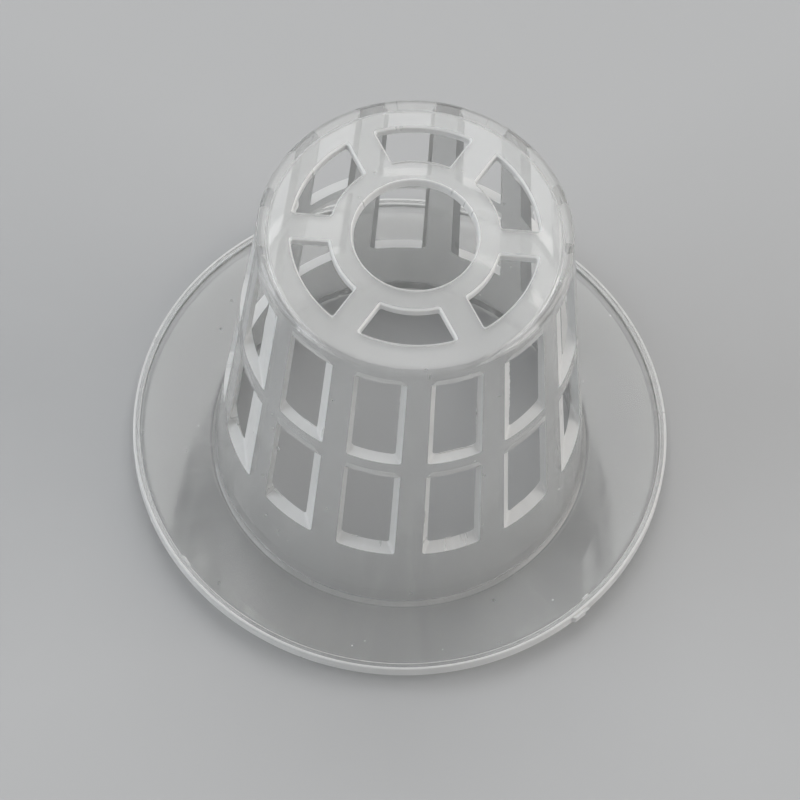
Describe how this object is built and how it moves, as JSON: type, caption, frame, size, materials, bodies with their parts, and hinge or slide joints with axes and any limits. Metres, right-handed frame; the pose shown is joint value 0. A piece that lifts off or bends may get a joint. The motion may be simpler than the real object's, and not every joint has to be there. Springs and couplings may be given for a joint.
{
  "type": "hydroponic net pot",
  "caption": "Hydroponic net pot: a tapered round basket with tall wall windows and a slotted base, moulded together with a wide thin flange.",
  "frame": {"origin": "centre of the pot's open mouth, on the plane that the mouth's edge rests on", "axes": "+Z along the pot's axis from the mouth to the perforated base; -Y is the front; +X is to the right seen from the front"},
  "size_m": [0.064, 0.064, 0.05],
  "materials": {
    "natural_plastic": "natural milky-clear polypropylene, smooth moulded surface"
  },
  "bodies": {
    "root": {"net_pot": "natural_plastic"}
  },
  "joints": []
}
